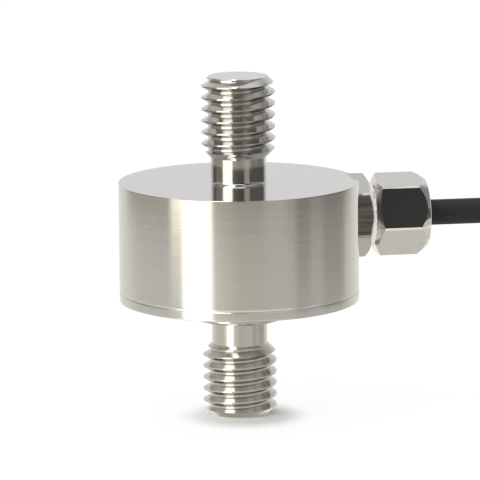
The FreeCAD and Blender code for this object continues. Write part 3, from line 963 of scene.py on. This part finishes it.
# The cable's far end
# A shrink sleeve covers the jacket's cut end. The four cores and the drain wire come out of it
# and lie on the floor, their tips stripped and tinned.
jacket_end = Vector((54.6, -9.0, 1.7))
sleeve_on_jacket = 4.0
sleeve_wall = 0.2
sleeve_sides = 32
sleeve_outline = [
    (1.6, 0), (1.6, 2.6), (1.56, 3.2), (1.6, 3.8),
    (1.5, 4.9), (1.46, 6.2), (1.44, 8.4), (1.52, 9.0),
]
core_radius = 0.35
drain_radius = 0.2
core_mouth = 9.09
core_knee = 6.75
core_reach = 8.25
core_places = {
    "red": (-0.45, 0.45, -16), "black": (0.45, 0.45, 24),
    "green": (-0.45, -0.45, -3), "white": (0.45, -0.45, 10),
}
drain_place = (0, -1.05, 4)
strand_radius = 0.075
strand_sides = 8
strand_twist = 25
strand_steps = 12
tip_length = 4.0

sleeve_black = (0.012, 0.012, 0.013)
sleeve_worn = (0.03, 0.03, 0.032)
shrunk = Finish("shrink_sleeve", ior=1.5, specular_ior_level=0.45)
shrunk_grain = shrunk.noise(shrunk.place(), 1.8, 3.0)
shrunk.set(
    base_color=shrunk.blend(shrunk_grain, sleeve_black, sleeve_worn),
    roughness=0.35 + shrunk_grain * 0.2)
shrunk.relief(shrunk_grain, 0.02)
sleeve = turned("sleeve", sleeve_outline, sleeve_sides, open_ends=True)
wall = sleeve.modifiers.new("wall", "SOLIDIFY")
wall.thickness = sleeve_wall * mm
wall.offset = -1
bpy.ops.object.modifier_apply(modifier="wall")
sleeve.rotation_euler = (0, math.radians(90), 0)
sleeve.location = (jacket_end - Vector((sleeve_on_jacket, 0, 0))) * mm
settle(sleeve)
finish_piece(sleeve, shrunk.material, "sleeve", "end_sleeve", angle=50)
on_the_cable.append(sleeve)


def core_route(across, high, spread, radius):
    """A core's way out of the sleeve and down to the floor."""
    start = jacket_end + Vector((0, across, high))
    fan = Vector((math.cos(math.radians(spread)), math.sin(math.radians(spread)), 0))
    mouth = start + Vector((core_mouth, 0, 0))
    knee = mouth + fan * core_knee
    knee.z = radius
    return [start, mouth, knee, knee + fan * core_reach], fan


def stripped_tip(name, place, fan):
    """Seven fine tinned strands twisted together, in line with their core."""
    strands = []
    for number in range(7):
        turn = math.radians(60 * number)
        off_centre = 0 if number == 6 else 2 * strand_radius
        bpy.ops.object.select_all(action="DESELECT")
        bpy.ops.mesh.primitive_circle_add(
            vertices=strand_sides, radius=strand_radius * mm, fill_type="NGON",
            location=(off_centre * math.cos(turn) * mm, off_centre * math.sin(turn) * mm, 0))
        strands.append(settle(bpy.context.object))
    tip = join(strands)
    tip.name = name
    bpy.ops.object.mode_set(mode="EDIT")
    bpy.ops.mesh.select_all(action="SELECT")
    for step in range(strand_steps):
        rise = (0, 0, tip_length / strand_steps * mm)
        bpy.ops.mesh.extrude_region_move(TRANSFORM_OT_translate={"value": rise})
        bpy.ops.transform.rotate(
            value=math.radians(strand_twist), orient_axis="Z", center_override=(0, 0, 0))
    bpy.ops.mesh.select_all(action="SELECT")
    bpy.ops.mesh.normals_make_consistent(inside=False)
    bpy.ops.object.mode_set(mode="OBJECT")
    tip.rotation_euler = fan.to_track_quat("Z", "Y").to_euler()
    tip.location = place * mm
    return settle(tip)


for colour, (across, high, spread) in core_places.items():
    route, fan = core_route(across, high, spread, core_radius)
    core = cord_curve(f"stripped_{colour}", route, 2 * core_radius * mm, resolution=6)
    core.data.materials.append(core_finishes[colour].material)
    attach(core, "root")
    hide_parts(f"core_end_{colour}")
    tip = stripped_tip(f"strands_{colour}", route[-1], fan)
    finish_piece(tip, tinned.material, "tinned_wire", angle=50)
    on_the_cable += [core, tip]

route, fan = core_route(*drain_place, drain_radius)
drain = cord_curve("stripped_drain", route, 2 * drain_radius * mm, resolution=6)
drain.data.materials.append(tinned.material)
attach(drain, "root")
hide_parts("drain_wire_end")
on_the_cable.append(drain)
for piece in on_the_cable:
    piece.visible_glossy = False


# The floor and the light
# A plain white floor in a white room. Metal shows a studio: a pale table below, a tall soft
# light at the front left, a weaker one at the right, and the white room behind.
floor_size = 6.0
floor_white = (0.9, 0.9, 0.9)
floor_pale = (0.92, 0.92, 0.92)
foot_shadow_centre = (0, -2.0, 0)
shadow_reach = (3.5, 8.0)
shadow_share = (0.1, 0.94)
bpy.ops.object.select_all(action="DESELECT")
bpy.ops.mesh.primitive_plane_add(size=floor_size)
floor = bpy.context.object
floor.name = "floor"
floor.visible_glossy = False
floor_finish = Finish("floor_white", roughness=1.0, specular_ior_level=0.0)
floor_grain = floor_finish.noise(floor_finish.place(), 0.05)
floor_finish.set(base_color=floor_finish.blend(floor_grain, floor_white, floor_pale))
floor.data.materials.append(floor_finish.material)

# Seen straight, the floor glows white and keeps the shadow round the stud's foot.
paper = floor_finish.values
foot_point = floor_finish.place(foot_shadow_centre)
from_foot = paper.node("ShaderNodeVectorMath", {"operation": "LENGTH"}, {0: foot_point}, output=1)
seen = paper.node("ShaderNodeLightPath")
near_share, far_share = shadow_share
glow = (from_foot.ramp(*shadow_reach) * (far_share - near_share) + near_share) * seen
white = paper.node("ShaderNodeEmission", None, {"Color": (1, 1, 1, 1)})
lit = Value(paper.tree, floor_finish.shader.outputs[0])
mixed = paper.node("ShaderNodeMixShader", None, {0: glow, 1: lit, 2: white})
paper.feed(paper.tree.nodes["Material Output"].inputs["Surface"], mixed)

lamp_place = (0, 0.25, 0.9)
lamp_lean = -15
lamp_size = 1.2
lamp_power = 7.0
bpy.ops.object.light_add(
    type="AREA", location=lamp_place, rotation=(math.radians(lamp_lean), 0, 0))
lamp = bpy.context.object
lamp.data.shape = "SQUARE"
lamp.data.size = lamp_size
lamp.data.energy = lamp_power
lamp.visible_glossy = False
lamp.visible_camera = False

bpy.context.scene.view_settings.view_transform = "Standard"
world = bpy.data.worlds.new("white_room")
world.use_nodes = True
bpy.context.scene.world = world
room = Value(world.node_tree)
direction = room.node("ShaderNodeTexCoord")


def along(way):
    """How far the direction looked in goes along this way."""
    settings = {"operation": "DOT_PRODUCT"}
    return room.node("ShaderNodeVectorMath", settings, {0: direction, 1: way}, output=1)


def panel(middle, half_width, edge):
    """One upright panel of the studio, by the angle round the part from the camera."""
    off_middle = room.sum("ABSOLUTE", azimuth - middle)
    return 1 - off_middle.ramp(half_width - edge, half_width + edge)


def between(first, second, share):
    """The first value, going over into the second."""
    return first + share * (second - first)


azimuth = room.sum("ARCTAN2", along(level_right), along(-level_forward)) * math.degrees(1)
off_front = room.sum("ABSOLUTE", azimuth)
rise = along(up)
behind = room.sum("ABSOLUTE", azimuth - 8).ramp(100, 146)
high_behind = off_front.ramp(122, 145)
key_light = panel(-40.9, 15.1, 3.5)
high_key = panel(-47, 21, 4)
key_spill = panel(-36, 26, 16)
side_light = panel(35, 11, 3)
left_pale = panel(-85, 22, 8)
right_dark = panel(89, 33, 5)
right_strip = panel(80, 8, 5)

# The table's sheet, as the metal shows it: warm in front, brightest at a steep look down. The
# two panels at the right are left out where the lower neck looks.
level = rise.ramp(-0.95, -0.8)
sheet = 0.71 + key_light * 1.2 + high_key * rise.ramp(-0.4, -0.6) * 2.6
sheet = sheet + key_spill * 0.22 + left_pale * 0.08
at_neck = rise.ramp(-0.3, -0.24) * rise.ramp(-0.199, -0.208)
sheet = sheet - right_dark * level * (1 - at_neck) * 0.25
sheet = sheet + right_strip * level * (1 - at_neck) * 0.16
steep = rise.ramp(-0.32, -0.44) * rise.ramp(-0.74, -0.66)
sheet = between(sheet, 0.93, behind * rise.ramp(-0.7, -0.3)) + steep * 0.3
sheet = sheet - behind * (1 - rise.ramp(-0.9, -0.6)) * 0.18

# The room over the table's far edge, and the dark room above it
zenith = rise.ramp(0.6, 0.95)
near_sheet = rise.ramp(-0.158, -0.15)
low_room = 0.13 + near_sheet * 0.13 + side_light * 0.22 + key_spill * 0.08
low_room = low_room - right_dark * (0.03 + near_sheet * 0.1)
low_room = low_room + high_key * (0.6 + rise.ramp(-0.08, -0.13) * 1.8)
high_room = 0.12 - rise.ramp(0.2, 0.4) * 0.085 + rise.ramp(0.6, 0.75) * 0.12
high_room = high_room + left_pale * 0.15 + key_spill * 0.08
high_room = high_room + off_front.ramp(25, 65) * rise.ramp(0.18, 0.24) * 0.25
high_room = high_room + high_key * (0.6 + rise.ramp(0.05, 0.13) * 1.8 + rise.ramp(0.6, 0.8) * 2.0)
high_room = high_room + side_light * (1 - rise.ramp(0.3, 0.45) * rise.ramp(0.75, 0.6)) * 0.42
high_room = high_room + zenith * (0.15 + off_front.ramp(20, 60) * 0.4)
high_room = high_room + off_front.ramp(35, 20) * rise.ramp(0.5, 0.56) * rise.ramp(0.74, 0.68) * 2.0
white_room = 0.86 - rise.ramp(0.25, 0.8) * 0.2 - rise.ramp(0.8, 0.95) * 0.4
front_room = between(low_room, high_room, rise.ramp(-0.03, 0.06))
room_light = between(front_room, white_room, high_behind)
beyond_sheet = rise.ramp(-0.1695, -0.163)
studio = between(sheet, room_light, beyond_sheet)
warm = (1 - beyond_sheet) * (0.08 + (1 - off_front.ramp(10, 35)) * 0.05)
dusk = beyond_sheet * (1 - near_sheet * 0.6) * (1 - rise.ramp(0.25, 0.35)) * (1 - high_behind)
green = studio * (0.985 - dusk * 0.07)
blue = studio * (0.98 - warm - dusk * 0.36)
tint = {0: studio, 1: green, 2: blue}
studio_colour = room.node("ShaderNodeCombineColor", None, tint)
rays = room.node("ShaderNodeLightPath")
through = Value(rays.tree, rays.socket.node.outputs["Is Transmission Ray"])
straight = room.sum("MAXIMUM", rays, through)
shown = room.node(
    "ShaderNodeMix", {"data_type": "RGBA"}, {0: straight, 6: studio_colour, 7: (1, 1, 1, 1)}, output=2)
background = world.node_tree.nodes["Background"]
room.feed(background.inputs["Color"], shown)
